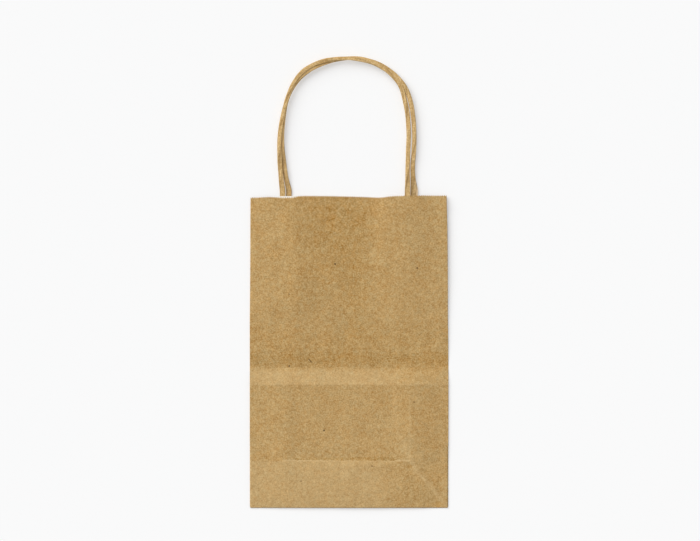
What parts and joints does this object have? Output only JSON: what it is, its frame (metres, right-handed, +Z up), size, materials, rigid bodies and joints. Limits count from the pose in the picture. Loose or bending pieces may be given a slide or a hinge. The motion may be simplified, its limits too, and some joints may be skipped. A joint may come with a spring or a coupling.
{
  "type": "paper carrier bag",
  "caption": "Small plain kraft paper bag folded flat, with a block bottom folded up behind it and twisted paper cord handles standing out of its mouth.",
  "frame": {"origin": "centre of the whole part's box, on the surface that the bag lies on", "axes": "+Z up out of the front panel, +Y from the bottom fold towards the mouth and the handles, +X to the right as the front panel is seen"},
  "size_m": [0.1334, 0.3032, 0.0088],
  "materials": {
    "kraft_sheet": "uncoated brown kraft paper with fine fibres and faint creases",
    "twisted_cord": "twisted kraft paper with shallow lines along the twist",
    "patch_paper": "uncoated off-white paper"
  },
  "bodies": {
    "root": {"bag_sheet": "kraft_sheet", "front_handle": "twisted_cord", "back_handle": "twisted_cord", "front_outer_patch": "patch_paper", "front_inner_patch": "patch_paper", "back_outer_patch": "patch_paper", "back_inner_patch": "patch_paper"}
  },
  "joints": []
}
